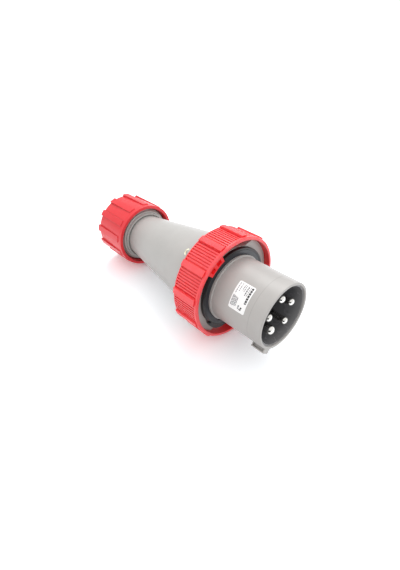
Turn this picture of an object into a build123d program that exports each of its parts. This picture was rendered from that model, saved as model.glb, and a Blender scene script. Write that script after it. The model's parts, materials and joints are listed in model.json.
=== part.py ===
from build123d import *
import os
from math import atan2, cos, degrees, radians, sin

# Industrial pin and sleeve plug, five pins, with a red locking ring and a red gland nut.
# It is drawn about its own axis in millimetres: +X leaves the open front, X = 0 is the
# shroud's rim and the key points to +Y. Depths are counted backwards from the rim.
# Angles are degrees about X, from the key towards +Z. lay_down at the end puts the plug
# on the floor as it comes to rest.

os.makedirs("parts", exist_ok=True)

# Fits
TOUCH = 0.05          # pieces of one body that sit in each other
FREE = 0.3            # pieces that turn or slide past each other
FLOAT = 0.4           # end float of the locking ring
PAST = 1.0            # how far a cutting piece reaches past what it cuts

# Shroud
SHROUD_R = 35.5
SHROUD_WALL = 2.7
RIM_ROUND = 0.7
FOOT_FRONT = 61.6
FOOT_STEP = 0.9
BEAD_R = 0.5
TAIL_LENGTH = 6.0
TAIL_WALL = 2.7
SHOULDER_FRONT = 60.0
SHOULDER_STEP = 1.0

# Key on the shroud's edge
KEY_LENGTH = 15.0
KEY_WIDTH = 9.0
KEY_HEIGHT = 4.7
KEY_WALL = 1.3
KEY_POCKET = 3.0

# Joint flange between the shroud and the housing
FLANGE_FRONT = 68.0
FLANGE_THICK = 5.0
HOUSING_FLANGE_THICK = 6.0
WING_ROOT_R = 44.6
NOTCH_COUNT = 2
NOTCH_ANGLE = 32.6
NOTCH_FLOOR_ANGLE = 37.2
NOTCH_MOUTH_ANGLE = 60.6
SEAL_MOUTH_R = 39.0
SEAL_GROOVE_R = 40.4
SEAL_WIDTH = 2.0
SEAL_DEPTH = 1.6

# Face gasket
GASKET_R = 44.2
GASKET_THICK = 4.0
GASKET_LIP = 0.9
GASKET_LOBE_R = 24.0
GASKET_LOBE_PITCH_R = 24.5
GASKET_LOBE_ANGLE = 3.0
GASKET_NOTCH_WIDTH = 4.0
GASKET_NOTCH_DEPTH = 3.0
GASKET_NOTCH_ANGLE = 2.5
GASKET_NICK_WIDTH = 5.0
GASKET_NICK_DEPTH = 1.2
GASKET_NICK_ANGLE = -16.0

# Locking ring
RING_FRONT = 61.0
RING_LENGTH = 33.0
RING_BORE_R = 53.4
RING_WALL = 2.9
RING_BAND_RISE = 0.5
PAD_RISE = 2.0
RING_BAND_LENGTH = 2.6
RING_EDGE = 0.7
RING_RIM_LENGTH = 1.0
PAD_WIDTH = 6.2
PAD_COUNT = 12
PAD_ANGLE = 26.0
GROOVES_PER_GAP = 8
GROOVE_WIDTH = 1.35
GROOVE_DEPTH = 0.9
TAB_ANGLE = -107.0
TAB_WIDE_ANGLE = 24.5
TAB_COUNT = 2
TAB_TIP_R = 46.0
TAB_SET_BACK = 0.3
TAB_POCKET_ANGLE = 6.4
TAB_POCKET_PITCH_ANGLE = 10.6
TAB_POCKET_DEPTH = 3.0
TAB_POCKET_WALL = 1.4
TAB_POCKET_HEIGHT = 5.6
SNAP_COUNT = 6
SNAP_WIDE_ANGLE = 22.0
SNAP_HEIGHT = 1.0
SNAP_LENGTH = 2.0
STOP_ANGLE = -80.0
STOP_WIDE_ANGLE = 6.0
STOP_HEIGHT = 2.1
RING_TURN = 38.0
STOP_MARGIN_ANGLE = 1.0

# Rear housing
CONE_FRONT_R = 47.0
CONE_BACK = 216.2
CONE_BACK_R = 25.7
HOUSING_WALL = 3.0
ROOT_GROOVE = 1.4
RIDGE_FRONT = 214.4
RIDGE_WIDTH = 2.2
COLLAR_FRONT = 217.0
COLLAR_R = 31.5
COLLAR_EDGE = 0.5
THREAD_FRONT = 220.5
THREAD_R = 34.0
THREAD_DEPTH = 0.9
SPIGOT_BACK = 243.0
SEAL_SEAT = 221.0
GLAND_BORE_R = 29.2

# Housing screws, M4, in lugs behind the joint flange
SCREW_COUNT = 4
SCREW_ANGLE = -106.0
SCREW_PITCH_R = 47.2
SCREW_R = 2.0
SCREW_HEAD_R = 4.0
SCREW_HEAD_THICK = 2.8
SCREW_SLOT = 1.1
LUG_R = 4.6
LUG_BACK = 100.5
HEAD_ROOM = 0.5
POCKET_WALL = 1.7
WASHER_THICK = 0.8
BOSS_R = 3.6
BOSS_LENGTH = 8.0
INSERT_R = 2.9
INSERT_LENGTH = 9.5

# Pin carrier and retainer
LINING_SET_BACK = 1.8
LINING_WALL = 1.5
FLOOR_FRONT = 57.0
FLOOR_THICK = 6.0
CARRIER_WALL = 2.4
TOWER_WALL = 1.6
COLLAR_SINK = 4.0
PIN_BOSS_WALL = 2.2
PIN_BOSS_HEIGHT = 1.2
RETAINER_THICK = 4.0
FIN_THICK = 2.0
FIN_LENGTH = 17.0
FIN_R = 21.0
HUB_R = 4.0
POST_R = 3.8
POST_PITCH_R = 27.0
POST_ANGLES = (36.0, 180.0, 324.0)
SMALL_SCREW_R = 1.5
SMALL_HEAD_R = 2.9
SMALL_HEAD_THICK = 2.0
SMALL_SCREW_LENGTH = 10.0

# Pins, terminals and their screws
PIN_NAMES = ("pin_earth", "pin_l1", "pin_l2", "pin_l3", "pin_neutral")
PIN_CIRCLE_R = 18.0
PIN_R = 4.0
EARTH_R = 5.0
PIN_TIP = 3.0
TIP_SHARE = 0.8       # of the pin's radius that its tip is rounded by
ROOT_STEP = 0.5
COLLAR_PIN_R = 7.0
BARREL_R = 6.2
BARREL_LENGTH = 22.0
WIRE_R = 3.9
WIRE_DEPTH = 17.0
TERMINAL_BACK = 8.0
TERMINAL_R = 3.0
TERMINAL_PROUD = 2.6
TERMINAL_SLOT = 1.2

# Cable gland
NUT_FRONT = 215.0
NUT_R = 38.9
NUT_BACK_R = 37.3
BAR_R = 39.8
BAR_WIDTH = 7.6
BAR_COUNT = 12
BAR_ANGLE = 26.0
NUT_COLLAR = 5.6
MOUTH_R = 35.4
MOUTH_DEPTH = 4.0
NUT_WALL_BACK = 6.3
CABLE_HOLE_R = 20.0
NUT_EDGE = 1.0
CABLE_R = 14.0
SEAL_LENGTH = 18.0
SEAL_RIBS = 3
SEAL_RIB_DEPTH = 1.6
SEAL_RIB_LENGTH = 3.0
COLLET_RING = 4.0
COLLET_BORE_R = 17.5
FINGER_LENGTH = 12.5
FINGER_BACK_R = 24.5
FINGER_WALL = 4.0
FINGER_COUNT = 12
FINGER_SLOT = 2.4
SLIP_SET_BACK = 2.0
SLIP_BACK_WALL = 2.0
SLIP_HOLE_R = 21.0
NUT_ROOM = 2.9

# How it lies: straight down is this far round from the key
DOWN_ANGLE = 41.0

# Worked out
BORE_R = SHROUD_R - SHROUD_WALL
RING_CREST_R = RING_BORE_R + RING_WALL
RING_BAND_R = RING_CREST_R + RING_BAND_RISE
PAD_R = RING_CREST_R + PAD_RISE
FOOT_R = SHROUD_R + FOOT_STEP
FLANGE_R = RING_BORE_R - FREE
FLANGE_BACK = FLANGE_FRONT + FLANGE_THICK
HOUSING_FLANGE_BACK = FLANGE_BACK + HOUSING_FLANGE_THICK
TAIL_BACK = FLANGE_BACK + TAIL_LENGTH
SHOULDER_R = BORE_R + SHOULDER_STEP
TAIL_R = SHOULDER_R + TAIL_WALL
RING_BACK = RING_FRONT + RING_LENGTH
RING_RIB_FRONT = RING_FRONT + RING_BAND_LENGTH
FLOOR_BACK = FLOOR_FRONT + FLOOR_THICK
RETAINER_BACK = TAIL_BACK + RETAINER_THICK
COLLAR_PIN_FRONT = TAIL_BACK - COLLAR_SINK
PIN_ROOT = FLOOR_FRONT - PIN_BOSS_HEIGHT
BARREL_BACK = RETAINER_BACK + BARREL_LENGTH
TERMINAL_DEPTH = BARREL_BACK - TERMINAL_BACK
THREAD_ROOT_R = THREAD_R - THREAD_DEPTH
NUT_BORE_R = THREAD_R + FREE
SEAL_BACK = SEAL_SEAT + SEAL_LENGTH
FINGER_FRONT = SEAL_BACK + COLLET_RING
FINGER_BACK = FINGER_FRONT + FINGER_LENGTH
NUT_FLOOR = FINGER_BACK + NUT_ROOM
NUT_BACK = NUT_FLOOR + NUT_WALL_BACK
FINGER_FRONT_R = GLAND_BORE_R - FREE
SLIP_BACK = NUT_FLOOR - FREE
STOP_RECESS_R = RING_BORE_R - STOP_HEIGHT - FREE


def turned(*points):
    """Solid of revolution about the plug's axis from (depth, radius) corners."""
    outline = Polyline([(-depth, radius) for depth, radius in points], close=True)
    return revolve(make_face(outline), Axis.X)


def rod(radius, front, back, pitch_r=0.0, angle=0.0):
    """Round bar along the axis between two depths, on a pitch circle."""
    disc = Plane.YZ.offset(-back) * Pos(pitch_r, 0) * Circle(radius)
    return Rot(angle, 0, 0) * extrude(disc, back - front)


def outward_bar(radius, length):
    """Round bar that starts on the axis and points to +Y."""
    return extrude(Plane.XZ * Circle(radius), -length)


def pipe(outer, inner, front, back, pitch_r=0.0, angle=0.0):
    return rod(outer, front, back, pitch_r, angle) - rod(inner, front, back, pitch_r, angle)


def arc_block(inner, outer, front, back, centre, span):
    """Piece of a tube wall: a sector of the given span, centred on an angle."""
    reach = 2 * outer
    half = radians(span / 2)
    corner = (reach * cos(half), reach * sin(half))
    wedge = make_face(Polyline((0, 0), corner, (corner[0], -corner[1]), close=True))
    ring = Circle(outer) - Circle(inner)
    block = extrude(Plane.YZ.offset(-back) * (ring & wedge), back - front)
    return Rot(centre, 0, 0) * block


def joined(base, pieces):
    for piece in pieces:
        base = base + piece
    return base


def around(count, start=0.0):
    return [start + index * 360 / count for index in range(count)]


def pin_angles():
    return around(len(PIN_NAMES))


def pin_radius(index):
    return EARTH_R if index == 0 else PIN_R


def screw_angles():
    return around(SCREW_COUNT, SCREW_ANGLE)


def cone_r(depth):
    """Outside radius of the housing's cone at a depth."""
    share = (depth - HOUSING_FLANGE_BACK) / (CONE_BACK - HOUSING_FLANGE_BACK)
    return CONE_FRONT_R + share * (CONE_BACK_R - CONE_FRONT_R)


def key_block():
    """Key: a block with a shallow pocket moulded into each side."""
    top = SHROUD_R + KEY_HEIGHT
    height = top - BORE_R - SHROUD_WALL / 2
    middle = top - height / 2
    block = Pos(-KEY_LENGTH / 2, middle, 0) * Box(KEY_LENGTH, height, KEY_WIDTH)
    block = fillet(block.edges().filter_by(Axis.X).group_by(Axis.Y)[-1], KEY_WALL / 2)
    pocket_height = KEY_HEIGHT - KEY_WALL
    pocket = Box(KEY_LENGTH - 2 * KEY_WALL, pocket_height, KEY_POCKET)
    for side in (-1, 1):
        across = side * (KEY_WIDTH - KEY_POCKET) / 2
        block = block - Pos(-KEY_LENGTH / 2, SHROUD_R + pocket_height / 2, across) * pocket
    return block


def flange_notch(angle, front, back):
    """Cutter for a notch between a flange's two wings, wider outside than at its floor."""
    floor_half = radians(NOTCH_FLOOR_ANGLE / 2)
    mouth_half = radians(NOTCH_MOUTH_ANGLE / 2)
    low = (WING_ROOT_R * cos(floor_half), WING_ROOT_R * sin(floor_half))
    edge = (FLANGE_R * cos(mouth_half), FLANGE_R * sin(mouth_half))
    outside = (2 * edge[0], 2 * edge[1])
    corners = [low, edge, outside]
    mirrored = [(x, -y) for x, y in reversed(corners)]
    wedge = make_face(Polyline(*corners, *mirrored, close=True)) - Circle(WING_ROOT_R)
    return Rot(angle, 0, 0) * extrude(Plane.YZ.offset(-back) * wedge, back - front)


def front_shroud():
    body = turned(
        (0, BORE_R),
        (0, SHROUD_R),
        (FOOT_FRONT, SHROUD_R),
        (FOOT_FRONT, FOOT_R),
        (FLANGE_FRONT, FOOT_R),
        (FLANGE_FRONT, FLANGE_R),
        (FLANGE_BACK, FLANGE_R),
        (FLANGE_BACK, TAIL_R),
        (TAIL_BACK, TAIL_R),
        (TAIL_BACK, SHOULDER_R),
        (SHOULDER_FRONT, SHOULDER_R),
        (SHOULDER_FRONT, BORE_R),
    )
    body = fillet(body.edges().filter_by(GeomType.CIRCLE).group_by(Axis.X)[-1], RIM_ROUND)
    bead = Pos(-FOOT_FRONT - BEAD_R, 0, 0) * Rot(0, 90, 0) * Torus(FOOT_R, BEAD_R)
    body = body + bead + key_block()
    for angle in around(NOTCH_COUNT, NOTCH_ANGLE):
        body = body - flange_notch(angle, FLANGE_FRONT - PAST, FLANGE_BACK)
    for angle in screw_angles():
        body = body + rod(BOSS_R, FLANGE_BACK, FLANGE_BACK + BOSS_LENGTH, SCREW_PITCH_R, angle)
    for angle in screw_angles():
        boss_back = FLANGE_BACK + BOSS_LENGTH
        body = body - rod(INSERT_R, boss_back - INSERT_LENGTH, boss_back, SCREW_PITCH_R, angle)
    return body


def screw_inserts():
    back = FLANGE_BACK + BOSS_LENGTH
    front = back - INSERT_LENGTH
    return [pipe(INSERT_R, SCREW_R, front, back, SCREW_PITCH_R, angle) for angle in screw_angles()]


def flange_gasket():
    """Flat face gasket that hugs the shroud's foot, with a thin raised lip and a wider lobe."""
    front = FLANGE_FRONT - GASKET_THICK
    lip = GASKET_LIP / 2
    gasket = turned(
        (FLANGE_FRONT, FOOT_R + TOUCH),
        (front + lip, FOOT_R + TOUCH),
        (front + lip, GASKET_R - 3 * GASKET_LIP),
        (front, GASKET_R - 2 * GASKET_LIP),
        (front, GASKET_R - lip),
        (front + lip, GASKET_R),
        (FLANGE_FRONT, GASKET_R),
    )
    lobe = rod(GASKET_LOBE_R, front + lip, FLANGE_FRONT, GASKET_LOBE_PITCH_R, GASKET_LOBE_ANGLE)
    gasket = gasket + (lobe - rod(FOOT_R + TOUCH, front, FLANGE_FRONT))
    notch = Box(GASKET_THICK / 2, 2 * GASKET_NOTCH_DEPTH, GASKET_NOTCH_WIDTH)
    notch = Pos(-front - GASKET_THICK / 4, FOOT_R, 0) * notch
    nick = Box(GASKET_THICK, 2 * GASKET_NICK_DEPTH, GASKET_NICK_WIDTH)
    nick = Pos(-front - GASKET_THICK / 2, GASKET_R, 0) * nick
    gasket = gasket - Rot(GASKET_NOTCH_ANGLE, 0, 0) * notch
    return gasket - Rot(GASKET_NICK_ANGLE, 0, 0) * nick


def bars_section(radius, width, count, start):
    """Flat section of round-topped bars that cross the axis, one pair to each strip."""
    strip = Rectangle(2 * radius, width) & Circle(radius)
    strips = [Rot(0, 0, angle) * strip for angle in around(count, start)[: count // 2]]
    return joined(strips[0], strips[1:])


def ring_section():
    """Outside of the ribbed part of the locking ring, seen along the axis."""
    first = degrees(atan2(PAD_WIDTH / 2, PAD_R))
    pitch = (360 / PAD_COUNT - 2 * first) / GROOVES_PER_GAP
    notch = Pos(RING_CREST_R, 0) * Rectangle(2 * GROOVE_DEPTH, GROOVE_WIDTH)
    notches = []
    for pad_angle in around(PAD_COUNT, PAD_ANGLE):
        for index in range(GROOVES_PER_GAP):
            notches.append(Rot(0, 0, pad_angle + first + (index + 0.5) * pitch) * notch)
    return Circle(RING_CREST_R) - notches + bars_section(PAD_R, PAD_WIDTH, PAD_COUNT, PAD_ANGLE)


def bayonet_tab(angle):
    """Inward tab near the ring's mouth, with two square pockets in its face."""
    front = RING_FRONT + TAB_SET_BACK
    back = FLANGE_FRONT - FLOAT
    wall = RING_BORE_R + (RING_CREST_R - RING_BORE_R) / 3
    tab = arc_block(TAB_TIP_R, wall, front, back, angle, TAB_WIDE_ANGLE)
    pocket_in = TAB_TIP_R + TAB_POCKET_WALL
    pocket_out = pocket_in + TAB_POCKET_HEIGHT
    for side in (-0.5, 0.5):
        centre = angle + side * TAB_POCKET_PITCH_ANGLE
        tab = tab - arc_block(
            pocket_in, pocket_out, front, front + TAB_POCKET_DEPTH, centre, TAB_POCKET_ANGLE
        )
    return tab


def locking_ring():
    ribbed = extrude(Plane.YZ.offset(-RING_BACK) * ring_section(), RING_LENGTH)
    limit = turned(
        (RING_FRONT - PAST, 0),
        (RING_FRONT - PAST, PAD_R + PAST),
        (RING_BACK - RING_EDGE, PAD_R + PAST),
        (RING_BACK - RING_EDGE, PAD_R),
        (RING_BACK, PAD_R - RING_EDGE),
        (RING_BACK, 0),
    )
    band_gap = rod(PAD_R + PAST, RING_FRONT - PAST, RING_RIB_FRONT)
    band = turned(
        (RING_FRONT, 0),
        (RING_FRONT, RING_BAND_R - RING_EDGE),
        (RING_FRONT + RING_EDGE, RING_BAND_R),
        (RING_RIB_FRONT, RING_BAND_R),
        (RING_RIB_FRONT, 0),
    )
    rim = rod(RING_CREST_R, RING_BACK - RING_RIM_LENGTH, RING_BACK)
    ring = ((ribbed & limit) - band_gap) + band + rim
    ring = ring - rod(RING_BORE_R, RING_FRONT - PAST, RING_BACK + PAST)
    wall = RING_BORE_R + (RING_CREST_R - RING_BORE_R) / 3
    snap_front = HOUSING_FLANGE_BACK + FLOAT
    for angle in around(SNAP_COUNT, TAB_ANGLE + 180 / SNAP_COUNT):
        snap_back = snap_front + SNAP_LENGTH
        snap_r = RING_BORE_R - SNAP_HEIGHT
        ring = ring + arc_block(snap_r, wall, snap_front, snap_back, angle, SNAP_WIDE_ANGLE)
    for angle in around(TAB_COUNT, STOP_ANGLE):
        stop_front = FLANGE_BACK + FLOAT
        stop_back = HOUSING_FLANGE_BACK - FLOAT
        stop_r = RING_BORE_R - STOP_HEIGHT
        ring = ring + arc_block(stop_r, wall, stop_front, stop_back, angle, STOP_WIDE_ANGLE)
    return joined(ring, [bayonet_tab(angle) for angle in around(TAB_COUNT, TAB_ANGLE)])


def housing_outline():
    """Corners of the housing's outside, from its joint face to the end of its thread."""
    return [
        (FLANGE_BACK, FLANGE_R),
        (HOUSING_FLANGE_BACK, FLANGE_R),
        (HOUSING_FLANGE_BACK, CONE_FRONT_R),
        (CONE_BACK, CONE_BACK_R),
        (CONE_BACK, CONE_BACK_R + ROOT_GROOVE),
        (RIDGE_FRONT, CONE_BACK_R + ROOT_GROOVE + RIDGE_WIDTH / 4),
        (RIDGE_FRONT, CONE_BACK_R + ROOT_GROOVE + RIDGE_WIDTH),
        (COLLAR_FRONT, CONE_BACK_R + ROOT_GROOVE + RIDGE_WIDTH),
        (COLLAR_FRONT, COLLAR_R - COLLAR_EDGE),
        (COLLAR_FRONT + COLLAR_EDGE, COLLAR_R),
        (THREAD_FRONT - THREAD_DEPTH, COLLAR_R),
        (THREAD_FRONT, THREAD_ROOT_R),
        (SPIGOT_BACK - THREAD_DEPTH, THREAD_ROOT_R),
        (SPIGOT_BACK, THREAD_ROOT_R - THREAD_DEPTH),
    ]


def rear_housing():
    outline = housing_outline()
    hollow_front = HOUSING_FLANGE_BACK + HOUSING_WALL
    inside = [
        (SPIGOT_BACK, GLAND_BORE_R),
        (SEAL_SEAT, GLAND_BORE_R),
        (SEAL_SEAT, CONE_BACK_R - HOUSING_WALL),
        (CONE_BACK, CONE_BACK_R - HOUSING_WALL),
        (hollow_front, cone_r(hollow_front) - HOUSING_WALL),
        (HOUSING_FLANGE_BACK, SEAL_MOUTH_R),
        (FLANGE_BACK, SEAL_MOUTH_R),
    ]
    body = turned(*outline, *inside)
    solid_outside = turned((FLANGE_BACK, 0), *outline, (SPIGOT_BACK, 0))
    pocket_r = SCREW_HEAD_R + HEAD_ROOM
    cone_slope = (CONE_FRONT_R - CONE_BACK_R) / (CONE_BACK - HOUSING_FLANGE_BACK)
    pocket_back = HOUSING_FLANGE_BACK + (CONE_FRONT_R - SCREW_PITCH_R + pocket_r) / cone_slope
    for angle in screw_angles():
        lug = rod(LUG_R, HOUSING_FLANGE_BACK - PAST, LUG_BACK, SCREW_PITCH_R, angle)
        dome_r = pocket_r + POCKET_WALL
        dome = rod(dome_r, HOUSING_FLANGE_BACK - PAST, pocket_back, SCREW_PITCH_R, angle)
        body = body + lug + (dome & solid_outside)
    for angle in screw_angles():
        body = body - rod(pocket_r, LUG_BACK, pocket_back + PAST, SCREW_PITCH_R, angle)
        body = body - rod(SCREW_R + TOUCH, FLANGE_BACK - PAST, LUG_BACK + PAST, SCREW_PITCH_R, angle)
        socket_back = FLANGE_BACK + BOSS_LENGTH + TOUCH
        body = body - rod(BOSS_R + TOUCH, FLANGE_BACK - PAST, socket_back, SCREW_PITCH_R, angle)
    groove_out = SEAL_GROOVE_R + SEAL_WIDTH
    body = body - pipe(groove_out, SEAL_GROOVE_R, FLANGE_BACK - PAST, FLANGE_BACK + SEAL_DEPTH)
    for angle in around(NOTCH_COUNT, NOTCH_ANGLE):
        body = body - flange_notch(angle, FLANGE_BACK - PAST, HOUSING_FLANGE_BACK)
    recess_span = RING_TURN + STOP_WIDE_ANGLE + 2 * STOP_MARGIN_ANGLE
    for angle in around(TAB_COUNT, STOP_ANGLE + RING_TURN / 2):
        body = body - arc_block(
            STOP_RECESS_R, FLANGE_R + PAST, FLANGE_BACK - PAST, HOUSING_FLANGE_BACK, angle, recess_span
        )
    return body


def body_seal():
    return pipe(
        SEAL_GROOVE_R + SEAL_WIDTH, SEAL_GROOVE_R, FLANGE_BACK, FLANGE_BACK + SEAL_DEPTH
    )


def screw_washers():
    back = LUG_BACK + WASHER_THICK
    return [
        pipe(SCREW_HEAD_R, SCREW_R + TOUCH, LUG_BACK, back, SCREW_PITCH_R, angle)
        for angle in screw_angles()
    ]


def round_head_screw(radius, head_r, head_thick, tip, seat, slot):
    """Slotted pan head screw along the axis: its head lies behind the seat's depth."""
    back = seat + head_thick
    screw = turned(
        (tip, 0),
        (tip, radius),
        (seat, radius),
        (seat, head_r),
        (back - head_thick / 3, head_r),
        (back, head_r - head_thick / 3),
        (back, 0),
    )
    depth = head_thick / 2
    return screw - Pos(-back + depth / 2, 0, 0) * Box(depth, 2 * head_r, slot)


def housing_screws():
    seat = LUG_BACK + WASHER_THICK
    tip = FLANGE_BACK + BOSS_LENGTH - INSERT_LENGTH + PAST
    screw = round_head_screw(SCREW_R, SCREW_HEAD_R, SCREW_HEAD_THICK, tip, seat, SCREW_SLOT)
    screw = Pos(0, SCREW_PITCH_R, 0) * screw
    return [Rot(angle, 0, 0) * screw for angle in screw_angles()]


def pin_carrier():
    """Dark insulating insert: a lining for the shroud, a floor and a tower for each pin."""
    skirt_r = BORE_R - TOUCH
    base_r = SHOULDER_R - TOUCH
    body = turned(
        (LINING_SET_BACK, skirt_r),
        (SHOULDER_FRONT, skirt_r),
        (SHOULDER_FRONT, base_r),
        (TAIL_BACK, base_r),
        (TAIL_BACK, base_r - CARRIER_WALL),
        (FLOOR_BACK, base_r - CARRIER_WALL),
        (FLOOR_BACK, 0),
        (FLOOR_FRONT, 0),
        (FLOOR_FRONT, skirt_r - LINING_WALL),
        (LINING_SET_BACK, skirt_r - LINING_WALL),
    )
    tower_r = COLLAR_PIN_R + TOUCH + TOWER_WALL
    for index, angle in enumerate(pin_angles()):
        ring_r = pin_radius(index) + PIN_BOSS_WALL
        body = body + rod(tower_r, FLOOR_BACK - PAST, TAIL_BACK, PIN_CIRCLE_R, angle)
        body = body + rod(ring_r, PIN_ROOT, FLOOR_BACK, PIN_CIRCLE_R, angle)
    for angle in POST_ANGLES:
        body = body + rod(POST_R, FLOOR_BACK - PAST, TAIL_BACK, POST_PITCH_R, angle)
        body = body - rod(SMALL_SCREW_R, FLOOR_BACK + PAST, TAIL_BACK, POST_PITCH_R, angle)
    for index, angle in enumerate(pin_angles()):
        hole_r = pin_radius(index) + ROOT_STEP + TOUCH
        body = body - rod(hole_r, PIN_ROOT - PAST, TAIL_BACK, PIN_CIRCLE_R, angle)
        sink_r = COLLAR_PIN_R + TOUCH
        body = body - rod(sink_r, COLLAR_PIN_FRONT, TAIL_BACK, PIN_CIRCLE_R, angle)
    return body


def contact_pin(index):
    """Pin with a rounded tip, a seating collar and a terminal barrel in one turning."""
    radius = pin_radius(index)
    angle = pin_angles()[index]
    pin = turned(
        (PIN_TIP, 0),
        (PIN_TIP, radius),
        (PIN_ROOT, radius),
        (PIN_ROOT, radius + ROOT_STEP),
        (COLLAR_PIN_FRONT, radius + ROOT_STEP),
        (COLLAR_PIN_FRONT, COLLAR_PIN_R),
        (TAIL_BACK, COLLAR_PIN_R),
        (TAIL_BACK, BARREL_R),
        (BARREL_BACK, BARREL_R),
        (BARREL_BACK, WIRE_R),
        (BARREL_BACK - WIRE_DEPTH, WIRE_R),
        (BARREL_BACK - WIRE_DEPTH, 0),
    )
    pin = fillet(pin.edges().filter_by(GeomType.CIRCLE).group_by(Axis.X)[-1], TIP_SHARE * radius)
    pin = pin - Pos(-TERMINAL_DEPTH, 0, 0) * outward_bar(TERMINAL_R, BARREL_R + PAST)
    return Rot(angle, 0, 0) * Pos(0, PIN_CIRCLE_R, 0) * pin


def terminal_screws():
    """One slotted clamping screw in each terminal barrel, pointing outwards."""
    length = BARREL_R + TERMINAL_PROUD - WIRE_R / 2
    start = WIRE_R / 2
    screw = Pos(0, start, 0) * outward_bar(TERMINAL_R, length)
    slot = Box(2 * TERMINAL_R, TERMINAL_SLOT, TERMINAL_SLOT)
    screw = screw - Pos(0, start + length - TERMINAL_SLOT / 2, 0) * slot
    screw = Pos(-TERMINAL_DEPTH, PIN_CIRCLE_R, 0) * screw
    return [Rot(angle, 0, 0) * screw for angle in pin_angles()]


def pin_retainer():
    """Plate that closes the carrier behind the pins, with fins between the terminals."""
    plate = rod(TAIL_R, TAIL_BACK, RETAINER_BACK)
    for angle in pin_angles():
        plate = plate - rod(BARREL_R + TOUCH, TAIL_BACK, RETAINER_BACK, PIN_CIRCLE_R, angle)
    for angle in POST_ANGLES:
        hole_r = SMALL_SCREW_R + TOUCH
        plate = plate - rod(hole_r, TAIL_BACK, RETAINER_BACK, POST_PITCH_R, angle)
    fin_back = RETAINER_BACK + FIN_LENGTH
    plate = plate + rod(HUB_R, RETAINER_BACK - PAST, fin_back)
    for angle in around(len(PIN_NAMES), 180 / len(PIN_NAMES)):
        middle = -(RETAINER_BACK - PAST + fin_back) / 2
        fin = Pos(middle, FIN_R / 2, 0) * Box(FIN_LENGTH + PAST, FIN_R, FIN_THICK)
        plate = plate + Rot(angle, 0, 0) * fin
    return plate


def retainer_screws():
    tip = RETAINER_BACK - SMALL_SCREW_LENGTH
    screw = round_head_screw(
        SMALL_SCREW_R, SMALL_HEAD_R, SMALL_HEAD_THICK, tip, RETAINER_BACK, SMALL_SCREW_R / 2
    )
    screw = Pos(0, POST_PITCH_R, 0) * screw
    return [Rot(angle, 0, 0) * screw for angle in POST_ANGLES]


def gland_seal():
    """Rubber seal with rounded ribs inside that close on the cable."""
    outer = GLAND_BORE_R - TOUCH
    seal = pipe(outer, CABLE_R, SEAL_SEAT, SEAL_BACK)
    pitch = SEAL_LENGTH / SEAL_RIBS
    for index in range(SEAL_RIBS):
        middle = SEAL_SEAT + (index + 0.5) * pitch
        front = middle - SEAL_RIB_LENGTH / 2
        seal = seal - rod(CABLE_R + SEAL_RIB_DEPTH, front, front + SEAL_RIB_LENGTH)
    return seal


def clamp_collet():
    """Ring of springy fingers: the slip ring's cone closes them on the cable."""
    ring_r = GLAND_BORE_R - TOUCH
    body = turned(
        (SEAL_BACK, COLLET_BORE_R),
        (SEAL_BACK, ring_r),
        (FINGER_FRONT, ring_r),
        (FINGER_FRONT, FINGER_FRONT_R),
        (FINGER_BACK, FINGER_BACK_R),
        (FINGER_BACK, FINGER_BACK_R - FINGER_WALL),
        (FINGER_FRONT, FINGER_FRONT_R - FINGER_WALL),
        (FINGER_FRONT, COLLET_BORE_R),
    )
    slot_length = FINGER_LENGTH + PAST
    slot = Box(slot_length, GLAND_BORE_R, FINGER_SLOT)
    slot = Pos(-FINGER_FRONT - slot_length / 2, COLLET_BORE_R, 0) * slot
    for angle in around(FINGER_COUNT):
        body = body - Rot(angle, 0, 0) * slot
    return body


def slip_ring():
    """Ring that rides in the nut: it moves straight back and forth and doesn't turn."""
    front = FINGER_FRONT + SLIP_SET_BACK
    slope = (FINGER_FRONT_R - FINGER_BACK_R) / FINGER_LENGTH
    front_r = FINGER_FRONT_R - slope * SLIP_SET_BACK + 2 * FREE
    back_wall = SLIP_BACK - SLIP_BACK_WALL
    back_r = front_r - slope * (back_wall - front)
    return turned(
        (front, front_r),
        (front, NUT_BORE_R - FREE),
        (SLIP_BACK, NUT_BORE_R - FREE),
        (SLIP_BACK, SLIP_HOLE_R),
        (back_wall, SLIP_HOLE_R),
        (back_wall, back_r),
    )


def gland_nut():
    """Nut that narrows to the back, with twelve straight grip bars."""
    bar_front = NUT_FRONT + NUT_COLLAR
    body = turned(
        (NUT_FRONT, 0),
        (NUT_FRONT, NUT_R - NUT_EDGE / 2),
        (NUT_FRONT + NUT_EDGE / 2, NUT_R),
        (bar_front, NUT_R),
        (NUT_BACK - NUT_EDGE, NUT_BACK_R),
        (NUT_BACK, NUT_BACK_R - NUT_EDGE),
        (NUT_BACK, 0),
    )
    bars = bars_section(BAR_R, BAR_WIDTH, BAR_COUNT, BAR_ANGLE)
    bars = extrude(Plane.YZ.offset(-NUT_BACK) * bars, NUT_BACK - bar_front)
    limit = turned(
        (bar_front, 0),
        (bar_front, NUT_R),
        (bar_front + NUT_EDGE, BAR_R + PAST),
        (NUT_BACK - NUT_EDGE, BAR_R + PAST),
        (NUT_BACK - NUT_EDGE, BAR_R),
        (NUT_BACK, BAR_R - NUT_EDGE),
        (NUT_BACK, 0),
    )
    body = body + (bars & limit)
    body = body - rod(MOUTH_R, NUT_FRONT - PAST, NUT_FRONT + MOUTH_DEPTH)
    body = body - rod(NUT_BORE_R, NUT_FRONT, NUT_FLOOR)
    return body - rod(CABLE_HOLE_R, NUT_FLOOR - PAST, NUT_BACK + PAST)


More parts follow.
